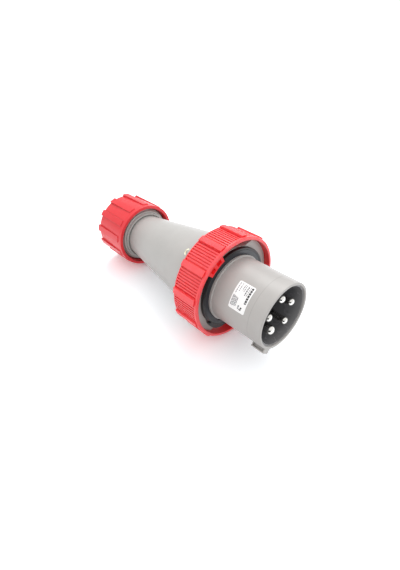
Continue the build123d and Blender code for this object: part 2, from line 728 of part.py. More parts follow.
def all_nodes():
    nodes = {
        "front_shroud": front_shroud(),
        "screw_inserts": screw_inserts(),
        "flange_gasket": flange_gasket(),
        "locking_ring": locking_ring(),
        "rear_housing": rear_housing(),
        "body_seal": body_seal(),
        "screw_washers": screw_washers(),
        "housing_screws": housing_screws(),
        "pin_carrier": pin_carrier(),
        "pin_retainer": pin_retainer(),
        "retainer_screws": retainer_screws(),
        "terminal_screws": terminal_screws(),
        "gland_seal": gland_seal(),
        "clamp_collet": clamp_collet(),
        "slip_ring": slip_ring(),
        "gland_nut": gland_nut(),
    }
    for index, name in enumerate(PIN_NAMES):
        nodes[name] = contact_pin(index)
    return nodes


def rest_tilt():
    """Nose-up angle when the back edges of the ring and the nut both touch the floor."""
    ring_flat = radians(180 / PAD_COUNT) - atan2(PAD_WIDTH / 2, PAD_R)
    nut_flat = radians(180 / BAR_COUNT) - atan2(BAR_WIDTH / 2, BAR_R)
    ring_drop = PAD_R * cos(ring_flat)
    nut_drop = BAR_R * cos(nut_flat)
    return degrees(atan2(ring_drop - nut_drop, NUT_BACK - RING_BACK))


def lay_down(nodes):
    """Turn the plug so that it lies nose up, with the floor at Z = 0 under its middle."""
    turn = Rot(0, -rest_tilt(), 0) * Rot(-90 - DOWN_ANGLE, 0, 0)
    laid = {}
    for name, shape in nodes.items():
        if isinstance(shape, list):
            shape = Compound(children=[turn * solid for solid in shape])
        else:
            shape = turn * shape
        laid[name] = shape
    boxes = [shape.bounding_box() for shape in laid.values()]
    low = Vector(*(min(getattr(box.min, axis) for box in boxes) for axis in "XYZ"))
    high = Vector(*(max(getattr(box.max, axis) for box in boxes) for axis in "XYZ"))
    shift = Pos(-(low.X + high.X) / 2, -(low.Y + high.Y) / 2, -low.Z)
    return {name: shift * shape for name, shape in laid.items()}, shift * turn


if __name__ == "__main__":
    parts, placement = lay_down(all_nodes())
    for name, shape in parts.items():
        export_step(shape, f"parts/{name}.step")
        print(name, len(shape.solids()), round(shape.volume, 1))
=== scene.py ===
# %% [markdown]
# # An industrial plug on a white table
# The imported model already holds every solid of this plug, each in its place. This file gives
# them their finishes, adds what is too fine for the solids (a printed label, the gland's
# thread), and sets up the table, the light and the camera. It is cut into cells: read the
# text, run the cell, look at what it printed, go on.

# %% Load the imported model
import json
import math
import random

import bpy
from mathutils import Euler, Matrix, Quaternion, Vector


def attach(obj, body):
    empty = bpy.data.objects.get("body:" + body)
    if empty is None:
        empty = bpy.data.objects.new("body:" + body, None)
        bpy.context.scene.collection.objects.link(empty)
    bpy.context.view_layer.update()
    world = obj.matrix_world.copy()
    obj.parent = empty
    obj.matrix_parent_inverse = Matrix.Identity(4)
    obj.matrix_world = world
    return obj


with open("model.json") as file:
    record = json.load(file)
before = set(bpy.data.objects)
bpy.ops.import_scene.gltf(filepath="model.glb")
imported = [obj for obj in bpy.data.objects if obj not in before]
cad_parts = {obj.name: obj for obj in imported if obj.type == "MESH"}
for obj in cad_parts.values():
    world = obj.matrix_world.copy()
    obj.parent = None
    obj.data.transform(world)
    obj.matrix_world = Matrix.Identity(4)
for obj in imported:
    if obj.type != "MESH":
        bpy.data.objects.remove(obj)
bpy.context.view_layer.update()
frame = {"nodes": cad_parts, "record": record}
nodes = frame["nodes"]

# %% [markdown]
# ## The plug's own axes
# The plug was drawn about its own axis, with its rim's centre at zero, and was then laid
# down on the table: rolled about its axis, and tipped nose up until it rests on its ring
# and its nut. Anything that follows the plug's shape is far easier to describe in those
# first axes: how deep behind the rim, how far from the axis, how far round. So one matrix
# takes plug axes to table axes, and every new mesh goes through it once.

# %% From plug axes to table axes
MM = 0.001
RIM_CENTRE = Vector((0.131816, 0.0, 0.066398))
ROLLED = math.radians(-131.0)
NOSE_UP = math.radians(-5.94856)
LYING = Euler((ROLLED, NOSE_UP, 0.0))
LAY_DOWN = Matrix.Translation(RIM_CENTRE) @ LYING.to_matrix().to_4x4()
print("the rim faces", [round(v, 3) for v in LAY_DOWN.to_3x3() @ Vector((1, 0, 0))])

# %% [markdown]
# ## Camera
# The picture was taken from close by with a wide lens: the near rim looks much larger than
# the far nut. A wide lens from nearby and a long lens from far away can frame a plug the
# same, but only the right distance gives that ratio. The lens here is 24 mm, the film is
# 36 mm on its longer, upright side, and the camera stands about half a metre away and looks
# down at 44 degrees. The Standard view shows every colour as it is written.

# %% Place the camera
EYE = Vector((0.24735, -0.22048, 0.33592))
AIM = Vector((-0.00297, 0.01895, 0.0))
LENS_MM = 24.0
FILM_MM = 36.0
NEAREST = 0.01
CAMERA_ROLL = math.radians(0.484)

camera = bpy.data.objects.new("camera", bpy.data.cameras.new("camera"))
bpy.context.scene.collection.objects.link(camera)
camera.data.lens = LENS_MM
camera.data.sensor_width = FILM_MM
camera.data.clip_start = NEAREST
camera.rotation_mode = "QUATERNION"
camera.location = EYE
level = (AIM - EYE).to_track_quat("-Z", "Y")
camera.rotation_quaternion = level @ Quaternion((0, 0, 1), CAMERA_ROLL)
bpy.context.scene.camera = camera
bpy.context.scene.view_settings.view_transform = "Standard"
print("from the camera to where it aims:", round((AIM - EYE).length, 3), "m")

# %% [markdown]
# ## Building node trees without pain
# A shader or a geometry tree is a drawing of boxes and wires. Written out call by call it
# fills pages, so one helper adds a box, sets its options and feeds its inputs, from a plain
# value or from another box. Everything after this reads like the drawing itself.

# %% Node helpers
def feed(tree, socket, source):
    """Give one input its source: another node, one of its outputs, or a plain value."""
    if isinstance(source, bpy.types.Node):
        source = source.outputs[0]
    if isinstance(source, bpy.types.NodeSocket):
        tree.links.new(source, socket)
    else:
        socket.default_value = source


def add(tree, kind, *values, named=None, **options):
    """Add a node, set its options, then feed its inputs in order and by name."""
    node = tree.nodes.new(kind)
    for key, value in options.items():
        setattr(node, key, value)
    for socket, value in zip(node.inputs, values):
        if value is not None:
            feed(tree, socket, value)
    for name, value in (named or {}).items():
        feed(tree, node.inputs[name], value)
    return node


def maths(tree, operation, *values):
    return add(tree, "ShaderNodeMath", *values, operation=operation)


def noise(tree, point, scale, detail, **extra):
    """A noise pattern, 0 to 1: its scale is the number of cells in one unit of the point."""
    named = {"Scale": scale, "Detail": detail, **extra}
    return add(tree, "ShaderNodeTexNoise", point, named=named).outputs["Fac"]


def blend_colours(tree, share, first, second):
    """A Mix node set to colours, which keeps them in its sockets 6 and 7, and the result in 2."""
    node = add(tree, "ShaderNodeMix", data_type="RGBA")
    for index, value in ((0, share), (6, first), (7, second)):
        feed(tree, node.inputs[index], value)
    return node.outputs[2]


def remap(tree, value, low, high, to_low=0.0, to_high=1.0):
    """Stretch the span from low to high onto another span, 0 to 1 unless it is given."""
    return add(tree, "ShaderNodeMapRange", value, low, high, to_low, to_high)


def new_tree(name, kind, inputs, outputs):
    """A node group with named sockets: inputs are (name, type, value), outputs (name, type)."""
    tree = bpy.data.node_groups.new(name, kind)
    for title, sort, value in inputs:
        socket = tree.interface.new_socket(title, in_out="INPUT", socket_type="NodeSocket" + sort)
        if value is not None:
            socket.default_value = value
    for title, sort in outputs:
        tree.interface.new_socket(title, in_out="OUTPUT", socket_type="NodeSocket" + sort)
    return tree, tree.nodes.new("NodeGroupInput").outputs, tree.nodes.new("NodeGroupOutput")


def hand_out(tree, exit_node, **results):
    """Wire a group's results to its outputs."""
    for name, value in results.items():
        feed(tree, exit_node.inputs[name], value)
    print("group", tree.name, "has", len(tree.nodes), "nodes")


# %% [markdown]
# ## Shared effect: where am I on the plug?
# Every pattern below wants plug axes. The group reads Object coordinates, which stay put
# when a piece turns or slides, and a Mapping node of the TEXTURE kind runs the lay-down
# backwards. Out come the point itself, its depth behind the rim, its distance from the
# axis and its angle round it, in millimetres and radians.

# %% Group: plug axes
plug_axes, _, out = new_tree(
    "Plug axes",
    "ShaderNodeTree",
    [],
    [("Point", "Vector"), ("Depth", "Float"), ("Radius", "Float"), ("Angle", "Float")],
)
place = add(plug_axes, "ShaderNodeTexCoord").outputs["Object"]
place = add(
    plug_axes,
    "ShaderNodeMapping",
    place,
    vector_type="TEXTURE",
    named={"Location": RIM_CENTRE, "Rotation": LYING},
)
parts = add(plug_axes, "ShaderNodeSeparateXYZ", place).outputs
across = add(plug_axes, "ShaderNodeCombineXYZ", 0.0, parts["Y"], parts["Z"])
reach = add(plug_axes, "ShaderNodeVectorMath", across, operation="LENGTH").outputs["Value"]
hand_out(
    plug_axes,
    out,
    Point=place,
    Depth=maths(plug_axes, "MULTIPLY", parts["X"], -1 / MM),
    Radius=maths(plug_axes, "MULTIPLY", reach, 1 / MM),
    Angle=maths(plug_axes, "ARCTAN2", parts["Z"], parts["Y"]),
)

# %% [markdown]
# ## Shared effect: the skin of a moulding
# Plastic copies its mould. The steel is spark-eroded, which leaves a fine random grain. The
# melt cools unevenly, so the tone drifts slowly over centimetres, and hands leave smudges
# that dull the gloss. Three noises do it: one as small as the grain for the bump, a broad
# one for the tone, and one in between for the smudges. A span says which part of a noise
# becomes 0 to 1: a narrow span gives patches with clear edges, a wide one a soft drift.

# %% Group: moulded skin
BROAD_PER_METRE = 45.0
TOUCH_PER_METRE = 110.0
DRIFT_SPAN = (0.35, 0.65)
SMUDGE_SPAN = (0.52, 0.72)

moulded_skin, given, out = new_tree(
    "Moulded skin",
    "ShaderNodeTree",
    [("Point", "Vector", None), ("Grain mm", "Float", 0.4)],
    [("Height", "Float"), ("Drift", "Float"), ("Smudge", "Float")],
)
fine_scale = maths(moulded_skin, "DIVIDE", 1 / MM, given["Grain mm"])
fine = noise(moulded_skin, given["Point"], fine_scale, 2.0)
broad = noise(moulded_skin, given["Point"], BROAD_PER_METRE, 3.0)
touch = noise(moulded_skin, given["Point"], TOUCH_PER_METRE, 4.0, Distortion=1.2)
hand_out(
    moulded_skin,
    out,
    Height=fine,
    Drift=remap(moulded_skin, broad, *DRIFT_SPAN),
    Smudge=remap(moulded_skin, touch, *SMUDGE_SPAN),
)

# %% [markdown]
# ## Shared effect: soft edges
# No moulded edge is razor sharp. The Bevel node bends the shading near an edge as a small
# radius would, and where that bent normal leaves the true one there is an edge: the same
# difference, broken up by a noise, gives a rub mask for the pale line that handling leaves.
# The Ambient Occlusion node finds the opposite, the creases, where the tone gets a painted shade.
# The edge span runs backwards, because the two normals agree least at the edge itself, and
# so does the crease span, because the node puts out 1 in the open.

# %% Group: soft edges
ROUNDING = 0.4 * MM
CREASE_REACH = 2.0 * MM
PATCHES_PER_METRE = 260.0
EDGE_SPAN = (0.97, 0.80)
PATCH_SPAN = (0.40, 0.62)
CREASE_SPAN = (0.95, 0.35)

soft_edges, given, out = new_tree(
    "Soft edges",
    "ShaderNodeTree",
    [("Point", "Vector", None), ("Rounding", "Float", ROUNDING), ("Reach", "Float", CREASE_REACH)],
    [("Normal", "Vector"), ("Rub", "Float"), ("Crease", "Float")],
)
rounded = add(soft_edges, "ShaderNodeBevel", given["Rounding"], samples=6)
true_normal = add(soft_edges, "ShaderNodeNewGeometry").outputs["Normal"]
match = add(soft_edges, "ShaderNodeVectorMath", rounded, true_normal, operation="DOT_PRODUCT")
edge = remap(soft_edges, match.outputs["Value"], *EDGE_SPAN)
patches = noise(soft_edges, given["Point"], PATCHES_PER_METRE, 2.0)
uneven = remap(soft_edges, patches, *PATCH_SPAN)
# the creases, whose mask carries a painted shade
nearby = add(soft_edges, "ShaderNodeAmbientOcclusion", samples=8, named={"Distance": given["Reach"]})
hand_out(
    soft_edges,
    out,
    Normal=rounded,
    Rub=maths(soft_edges, "MULTIPLY", edge, uneven),
    Crease=remap(soft_edges, nearby.outputs["AO"], *CREASE_SPAN),
)


# %% [markdown]
# ## A recipe for moulded plastic and rubber
# All the mouldings share one recipe with their own numbers: a tone that drifts between two near
# colours, a paler edge, a painted shade in the creases, a roughness that rises where fingers were,
# and grain over the softened normal. The shader stays in each material, and whatever is the same all
# over, such as how deep light sinks into the ring's plastic, sits straight on its socket; the deep
# red in the ring's grooves is painted shade.

# %% Recipe for mouldings
def linear(level):
    """One screen level, 0 to 255, as linear light: a curve with a short straight foot."""
    if level > 10:
        return ((level / 255 + 0.055) / 1.055) ** 2.4
    return level / 3295


def colour(*levels):
    """A screen colour, three levels from 0 to 255, as the linear light that a shader wants."""
    return tuple(linear(level) for level in levels) + (1.0,)


def new_material(name):
    """A new material with its tree and the shader that stands in it."""
    material = bpy.data.materials.new(name)
    material.use_nodes = True
    tree = material.node_tree
    return material, tree, tree.nodes["Principled BSDF"]


def moulding(
    name,
    deep,
    pale,
    rubbed,
    gloss,
    grain=(0.4, 0.02),
    reach=CREASE_REACH,
    crease_shade=None,
    stain_or_painted_light=None,
    stained_or_lit_tone=None,
    **fixed,
):
    """A moulded finish: gloss is (smooth, smudged) roughness, grain (size, depth) in mm, the crease
    tone a painted shade within reach of a crease, and the zone function says where its tone, a mould
    mark or a painted light or shade, takes over."""
    material, tree, shader = new_material(name)
    axes = add(tree, "ShaderNodeGroup", node_tree=plug_axes).outputs
    skin = add(tree, "ShaderNodeGroup", axes["Point"], grain[0], node_tree=moulded_skin).outputs
    edges = add(tree, "ShaderNodeGroup", axes["Point"], None, reach, node_tree=soft_edges).outputs
    tone = blend_colours(tree, skin["Drift"], deep, pale)
    tone = blend_colours(tree, edges["Rub"], tone, rubbed)
    # painted shade in the creases
    if crease_shade:
        tone = blend_colours(tree, edges["Crease"], tone, crease_shade)
    # a mould mark, or a painted light or shade, in one zone
    if stain_or_painted_light:
        tone = blend_colours(tree, stain_or_painted_light(tree, axes), tone, stained_or_lit_tone)
    feed(tree, shader.inputs["Base Color"], tone)
    feed(tree, shader.inputs["Roughness"], remap(tree, skin["Smudge"], 0.0, 1.0, *gloss))
    bump = add(
        tree,
        "ShaderNodeBump",
        named={"Distance": grain[1] * MM, "Height": skin["Height"], "Normal": edges["Normal"]},
    )
    feed(tree, shader.inputs["Normal"], bump)
    for socket, value in fixed.items():
        shader.inputs[socket.replace("_", " ")].default_value = value
    print("finish", name)
    return material


# %% [markdown]
# ## Where one moulding changes tone
# Four mouldings aren't the same all over. A function for each says where, from 0 to 1, in millimetres
# behind the rim or from the axis: the mould's joint round the shroud, a painted shade on the gasket's
# rim and in the ring's bore, and a painted light at the lining's mouth. Done this way the mark stays
# a number that can be moved, where a painted picture would have to be painted again.

# %% Stains and painted light
HAIRLINE_DEPTH = 15.3
HAIRLINE_WIDTH = 0.45
HAIRLINE_STRENGTH = 0.35
# zones of painted shade on the gasket's rim and in the ring's bore, and of painted light at the
# lining's mouth
GASKET_SHADE_BAND = (41.2, 41.7)
RING_BORE_SHADE = (54.0, 53.6)
LINING_LIGHT_SPAN = (14.0, 1.5)


def line_across(tree, value, at, width):
    """1 on a hairline where the value passes a mark, 0 elsewhere."""
    off = maths(tree, "ABSOLUTE", maths(tree, "SUBTRACT", value, at))
    return remap(tree, off, width, width / 3)


def shroud_line(tree, axes):
    """The faint mark of the mould's joint round the shroud."""
    line = line_across(tree, axes["Depth"], HAIRLINE_DEPTH, HAIRLINE_WIDTH)
    return maths(tree, "MULTIPLY", line, HAIRLINE_STRENGTH)


def gasket_rim_shade(tree, axes):
    """The gasket's outer band, painted darker as the shade that falls there under the ring."""
    return remap(tree, axes["Radius"], *GASKET_SHADE_BAND)


def ring_bore_shade(tree, axes):
    """The ring's bore and its tabs, painted a deeper red as the shade inside the bore."""
    return remap(tree, axes["Radius"], *RING_BORE_SHADE)


def lining_mouth_light(tree, axes):
    """The lining towards its mouth, painted paler as the light that reaches in there."""
    return remap(tree, axes["Depth"], *LINING_LIGHT_SPAN)


print("the hairline lies", HAIRLINE_DEPTH, "mm behind the rim")


# %% [markdown]
# ## The mouldings
# Each call gives the deep and the pale tone, the tone of a rubbed edge, and the gloss. The greys and
# the insulator are kept close to one tone, as new plastic is. The ring is a brighter red than the nut
# and lets light sink in. The grey shell, the red shell and the ring get a painted shade in their
# creases, deepest red in the ring's grooves; the ring's bore and the gasket's rim get a painted
# shade, and the lining's mouth a painted light. The rubbers have a coarser grain, and the nylon too
# lets light in.

# %% Plastics and rubbers
grey_shell = moulding(
    "grey_shell",
    colour(181, 179, 176),
    colour(185, 183, 180),
    colour(202, 201, 198),
    (0.38, 0.48),
    # painted shade in the creases
    crease_shade=colour(160, 158, 155),
)
grey_shroud = moulding(
    "grey_shell_shroud",
    colour(178, 175, 172),
    colour(183, 180, 177),
    colour(200, 198, 195),
    (0.38, 0.48),
    stain_or_painted_light=shroud_line,
    stained_or_lit_tone=colour(140, 138, 135),
)
red_shell = moulding(
    "red_shell",
    colour(226, 42, 50),
    colour(231, 49, 57),
    colour(246, 96, 102),
    (0.32, 0.42),
    # painted shade in the creases
    crease_shade=colour(190, 20, 30),
)
ring_red = moulding(
    "red_shell_ring",
    colour(248, 76, 81),
    colour(255, 88, 93),
    colour(255, 124, 128),
    (0.34, 0.44),
    reach=2.2 * MM,
    # painted shade: a deep red in the grooves and creases
    crease_shade=colour(228, 0, 8),
    # painted shade: a deeper red in the bore and on the tabs
    stain_or_painted_light=ring_bore_shade,
    stained_or_lit_tone=colour(246, 46, 52),
    Subsurface_Weight=0.35,
    Subsurface_Scale=1.0 * MM,
)
face_rubber = moulding(
    "face_rubber",
    colour(38, 40, 46),
    colour(48, 50, 56),
    colour(80, 84, 88),
    (0.34, 0.46),
    grain=(0.8, 0.04),
    # painted shade on the gasket's outer band
    stain_or_painted_light=gasket_rim_shade,
    stained_or_lit_tone=colour(24, 24, 26),
)
seal_rubber = moulding(
    "seal_rubber",
    colour(30, 30, 32),
    colour(38, 38, 40),
    colour(60, 60, 62),
    (0.50, 0.65),
    grain=(0.6, 0.03),
)
dark_insulator = moulding(
    "dark_insulator",
    colour(98, 98, 101),
    colour(108, 108, 111),
    colour(132, 132, 135),
    (0.24, 0.36),
    # painted light: the lining paler towards its mouth
    stain_or_painted_light=lining_mouth_light,
    stained_or_lit_tone=colour(134, 133, 134),
)
white_nylon = moulding(
    "white_nylon",
    colour(224, 222, 214),
    colour(232, 230, 224),
    colour(240, 238, 234),
    (0.40, 0.50),
    Subsurface_Weight=0.1,
    Subsurface_Scale=2.0 * MM,
)


# %% [markdown]
# ## A recipe for turned metal
# Pins, screws and inserts come off a lathe, which leaves fine rings round each piece's own
# axis. The five pins stand on one circle, so folding the angle into a fifth of a turn puts
# all five on top of each other, and one pattern of rings serves them all. The four housing
# screws and their inserts fold by quarters. The small screws out of sight inside share the
# zinc and take that pattern as it falls. A trace of tarnish follows the same rings.

# %% Metals
LATHE_PER_MM = 2.2
CUT_DEPTH = 0.004 * MM
CUT_SPAN = (0.3, 0.7)
METAL_ROUNDING = 0.3 * MM


def ring_distance(tree, axes, count, circle, start):
    """Distance in mm from the axis of the nearest of some pieces spaced round a circle."""
    share = 2 * math.pi / count
    turned = maths(tree, "SUBTRACT", axes["Angle"], start - share / 2)
    folded = maths(tree, "SUBTRACT", maths(tree, "FLOORED_MODULO", turned, share), share / 2)
    along = maths(tree, "MULTIPLY", axes["Radius"], maths(tree, "COSINE", folded))
    side = maths(tree, "MULTIPLY", axes["Radius"], maths(tree, "SINE", folded))
    offset = add(tree, "ShaderNodeCombineXYZ", maths(tree, "SUBTRACT", along, circle), side)
    return add(tree, "ShaderNodeVectorMath", offset, operation="LENGTH").outputs["Value"]


def turned_metal(name, bright, dull, gloss, count, circle, start=0.0):
    """A turned finish for count pieces on a circle of this radius in mm, the first at start."""
    material, tree, shader = new_material(name)
    axes = add(tree, "ShaderNodeGroup", node_tree=plug_axes).outputs
    skin = add(tree, "ShaderNodeGroup", axes["Point"], node_tree=moulded_skin).outputs
    edges = add(tree, "ShaderNodeGroup", axes["Point"], METAL_ROUNDING, node_tree=soft_edges).outputs
    away = ring_distance(tree, axes, count, circle, start)
    travel = maths(tree, "ADD", away, axes["Depth"])
    feedline = add(tree, "ShaderNodeCombineXYZ", travel)
    cuts = noise(tree, feedline, LATHE_PER_MM, 3.0)
    tarnish = maths(tree, "MULTIPLY", skin["Drift"], cuts)
    feed(tree, shader.inputs["Base Color"], blend_colours(tree, tarnish, bright, dull))
    feed(tree, shader.inputs["Roughness"], remap(tree, cuts, *CUT_SPAN, *gloss))
    bump = add(
        tree,
        "ShaderNodeBump",
        named={"Distance": CUT_DEPTH, "Height": cuts, "Normal": edges["Normal"]},
    )
    feed(tree, shader.inputs["Normal"], bump)
    shader.inputs["Metallic"].default_value = 1.0
    print("finish", name)
    return material


PIN_CIRCLE = (5, 18.0)
SCREW_CIRCLE = (4, 47.2, math.radians(-106))

plated_contact = turned_metal(
    "plated_contact", colour(236, 234, 230), colour(212, 209, 203), (0.10, 0.20), *PIN_CIRCLE
)
insert_brass = turned_metal(
    "insert_brass", colour(224, 190, 118), colour(186, 150, 86), (0.22, 0.36), *SCREW_CIRCLE
)
screw_zinc = turned_metal(
    "screw_zinc", colour(238, 232, 202), colour(204, 196, 162), (0.22, 0.38), *SCREW_CIRCLE
)

# %% [markdown]
# ## Finishes onto the solids
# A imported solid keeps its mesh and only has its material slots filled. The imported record
# names each node's finish, so nothing is listed twice. Two nodes take a variant: the shroud
# the grey with its hairline, the locking ring the brighter red.

# %% Hand the finishes to the nodes
FINISHES = {
    "grey_shell": grey_shell,
    "red_shell": red_shell,
    "face_rubber": face_rubber,
    "seal_rubber": seal_rubber,
    "dark_insulator": dark_insulator,
    "insert_brass": insert_brass,
    "screw_zinc": screw_zinc,
    "white_nylon": white_nylon,
    "plated_contact": plated_contact,
}
VARIANTS = {"front_shroud": grey_shroud, "locking_ring": ring_red}
for row in frame["record"]["subparts"]:
    finish = VARIANTS.get(row["node"], FINISHES[row["material_slot"]])
    holders = nodes[row["node"]].data.materials
    if not holders:
        holders.append(finish)
    for index in range(len(holders)):
        holders[index] = finish
print("finishes on", len(nodes), "solids")

# %% [markdown]
# ## Growing a mesh from a geometry tree
# A thread and a wrapped label follow a rule, so a geometry tree grows them. The tree works
# in millimetres about the plug's axis. One helper runs it, keeps the plain mesh, lays it
# down with the plug and says which body it rides on, so that it moves with that body.

# %% Run a geometry tree once
def grow(name, tree, finish, body, slot=None, start=None, **values):
    """Grow one piece on a body: start is the mesh that the tree begins from, if it needs one, and
    values are the tree's own inputs. The slot, the finish slot that it shares with a solid, is not
    used."""
    piece = bpy.data.objects.new(name, start or bpy.data.meshes.new(name))
    bpy.context.scene.collection.objects.link(piece)
    growth = piece.modifiers.new("growth", "NODES")
    growth.node_group = tree
    values["Material"] = finish
    for socket in tree.interface.items_tree:
        title = socket.name.replace(" ", "_")
        if socket.in_out == "INPUT" and title in values:
            growth[socket.identifier] = values[title]
    ready = piece.evaluated_get(bpy.context.evaluated_depsgraph_get())
    mesh = bpy.data.meshes.new_from_object(ready)
    piece.modifiers.remove(growth)
    mesh.transform(LAY_DOWN @ Matrix.Scale(MM, 4))
    piece.data = mesh
    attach(piece, body)
    print(name, len(mesh.polygons), "faces")


def vector_maths(tree, operation, *values):
    return add(tree, "ShaderNodeVectorMath", *values, operation=operation)


def finish_off(tree, exit_node, shape, material):
    """The end of every geometry tree: plain geometry with its material on."""
    plain = add(tree, "GeometryNodeRealizeInstances", shape)
    feed(tree, exit_node.inputs[0], add(tree, "GeometryNodeSetMaterial", plain, None, material))
    print("tree", tree.name, "has", len(tree.nodes), "nodes")


# %% [markdown]
# ## The gland's thread
# The nut's coupled turn and travel make sense only if a thread can be seen doing it. The
# solids stop at the thread's core, which keeps them light, and the winds are grown here: a
# spiral curve carries a trapezoid along. Blender's spiral winds left-handed, which is easy
# to miss, so it is reversed into the right-handed thread that a nut needs.

# %% Thread tree: sizes and path
THREAD_FRONT = 221.6
THREAD_PITCH = 4.0
SPIGOT_FOOT = 33.0
WIND_HEIGHT = 1.0

wind, given, out = new_tree(
    "Thread wind",
    "GeometryNodeTree",
    [
        ("Front depth", "Float", THREAD_FRONT),
        ("Length", "Float", 20.0),
        ("Pitch", "Float", THREAD_PITCH),
        ("Base radius", "Float", SPIGOT_FOOT),
        ("Height", "Float", WIND_HEIGHT),
        ("Base width", "Float", 2.2),
        ("Top width", "Float", 1.0),
        ("Material", "Material", None),
    ],
    [("Geometry", "Geometry")],
)
turns = maths(wind, "DIVIDE", given["Length"], given["Pitch"])
path = add(
    wind,
    "GeometryNodeCurveSpiral",
    named={
        "Resolution": 96,
        "Rotations": turns,
        "Start Radius": given["Base radius"],
        "End Radius": given["Base radius"],
        "Height": given["Length"],
        "Reverse": True,
    },
)
path = add(wind, "GeometryNodeSetCurveNormal", path, mode="Z_UP")
print("the thread's pitch is", THREAD_PITCH, "mm")

# %% [markdown]
# The profile is a trapezoid, broad at its foot and narrow at its top. Over the first and
# last third of a turn the winds fade to next to nothing, as a moulded thread does: the
# distance to the nearer end, counted in turns, sets the size of the profile there.

# %% Thread tree: fade and profile
FADE_TURNS = 0.35
FAINTEST = 0.03

done = maths(wind, "MULTIPLY", add(wind, "GeometryNodeSplineParameter").outputs["Factor"], turns)
to_end = maths(wind, "MINIMUM", done, maths(wind, "SUBTRACT", turns, done))
fade = remap(wind, to_end, 0.0, FADE_TURNS, FAINTEST)
fade.interpolation_type = "SMOOTHSTEP"
corners = []
for width, side, rise in (
    ("Base width", -0.5, 0),
    ("Base width", 0.5, 0),
    ("Top width", 0.5, 1),
    ("Top width", -0.5, 1),
):
    across = maths(wind, "MULTIPLY", given[width], side)
    up = maths(wind, "MULTIPLY", given["Height"], rise)
    corners.append(add(wind, "ShaderNodeCombineXYZ", up, across))
outline = add(
    wind,
    "GeometryNodeCurvePrimitiveQuadrilateral",
    mode="POINTS",
    named={f"Point {index + 1}": corner for index, corner in enumerate(corners)},
)
print("the profile has", len(corners), "corners")

# %% [markdown]
# Curve to Mesh sweeps the profile along the path. A profile drawn away from the axis leaves
# the faces pointing in, so those are flipped, and winds drawn towards the axis come out
# right. The spiral stands upright at zero, so it is laid along the plug's axis and moved
# back to where the thread starts.

# %% Thread tree: sweep
ridge = add(
    wind,
    "GeometryNodeCurveToMesh",
    named={"Curve": path, "Profile Curve": outline, "Scale": fade, "Fill Caps": True},
)
outwards = maths(wind, "GREATER_THAN", given["Height"], 0.0)
ridge = add(wind, "GeometryNodeFlipFaces", ridge, outwards)
turned_back = add(
    wind,
    "GeometryNodeTransform",
    ridge,
    add(wind, "ShaderNodeCombineXYZ", maths(wind, "MULTIPLY", given["Front depth"], -1.0)),
    (0.0, math.radians(-90), 0.0),
)
finish_off(wind, out, turned_back, given["Material"])

# %% [markdown]
# The spigot's winds stand outwards from its core, ride on the body and take the tree's own
# sizes. The nut's stand inwards from its bore, so their height is negative, begin half a
# pitch further back and ride on the nut: when it unscrews, they climb between the spigot's.
# The feet of both are sunk a tenth of a millimetre into their solids, so no gap shows.

# %% Grow both threads
NUT_FOOT = 34.4
NUT_THREAD_LENGTH = 17.0

grow("spigot_thread", wind, grey_shell, "plug_body", slot="grey_shell")
grow(
    "nut_thread",
    wind,
    red_shell,
    "gland_nut",
    slot="red_shell",
    Front_depth=THREAD_FRONT + THREAD_PITCH / 2,
    Length=NUT_THREAD_LENGTH,
    Base_radius=NUT_FOOT,
    Height=-WIND_HEIGHT,
)

# %% [markdown]
# ## A printed label, wrapped round the shroud
# A white label sits on the shroud. It says nothing: a bold row of bars, thinner rows and one
# block of bars are its whole print. Card and print start flat in label millimetres, X round
# the shroud and Y towards the back, and one group bends anything flat onto a cylinder. Laid
# out that way the flat sheet is a mirror image of its place, as on a rubber stamp, so the
# faces come out inside out and the group flips them at its end.

# %% Group: wrap round a cylinder
SHROUD_RADIUS = 35.5
LABEL_DEPTH = 31.0
LABEL_ANGLE = math.radians(-90.4)
ON_SHROUD = [
    ("Radius", "Float", SHROUD_RADIUS),
    ("Depth", "Float", LABEL_DEPTH),
    ("Angle", "Float", LABEL_ANGLE),
]

wrap, given, out = new_tree(
    "Wrap round",
    "GeometryNodeTree",
    [("Geometry", "Geometry", None), *ON_SHROUD],
    [("Geometry", "Geometry")],
)
spot = add(wrap, "ShaderNodeSeparateXYZ", add(wrap, "GeometryNodeInputPosition")).outputs
turn = maths(wrap, "ADD", given["Angle"], maths(wrap, "DIVIDE", spot["X"], given["Radius"]))
reach = maths(wrap, "ADD", given["Radius"], spot["Z"])
bent = add(
    wrap,
    "ShaderNodeCombineXYZ",
    maths(wrap, "SUBTRACT", maths(wrap, "MULTIPLY", given["Depth"], -1.0), spot["Y"]),
    maths(wrap, "MULTIPLY", reach, maths(wrap, "COSINE", turn)),
    maths(wrap, "MULTIPLY", reach, maths(wrap, "SINE", turn)),
)
rolled = add(wrap, "GeometryNodeSetPosition", given["Geometry"], None, bent)
feed(wrap, out.inputs[0], add(wrap, "GeometryNodeFlipFaces", rolled))
print("tree", wrap.name, "has", len(wrap.nodes), "nodes")

# %% [markdown]
# Card and print are both thin solids. A flat sheet is extruded upwards, and its own
# underside, turned over, closes it. Both are then rolled on by the same group, so two
# helpers are enough for them.

# %% Thicken and roll on
def thicken(tree, sheet, thickness, seam):
    """A flat sheet raised by its thickness, with all points nearer than the seam made one."""
    lifted = add(tree, "GeometryNodeExtrudeMesh", sheet, None, (0.0, 0.0, 1.0), thickness, False)
    closed = add(tree, "GeometryNodeJoinGeometry")
    for side in (lifted, add(tree, "GeometryNodeFlipFaces", sheet)):
        tree.links.new(side.outputs[0], closed.inputs[0])
    return add(tree, "GeometryNodeMergeByDistance", closed, None, seam)


def roll_on(tree, exit_node, shape, given):
    """Bend a flat shape onto the shroud, and finish it off."""
    where = [given[title] for title, _, _ in ON_SHROUD]
    rolled = add(tree, "GeometryNodeGroup", shape, *where, node_tree=wrap)
    finish_off(tree, exit_node, rolled, given["Material"])


print("the label's middle is", LABEL_DEPTH, "mm behind the rim")

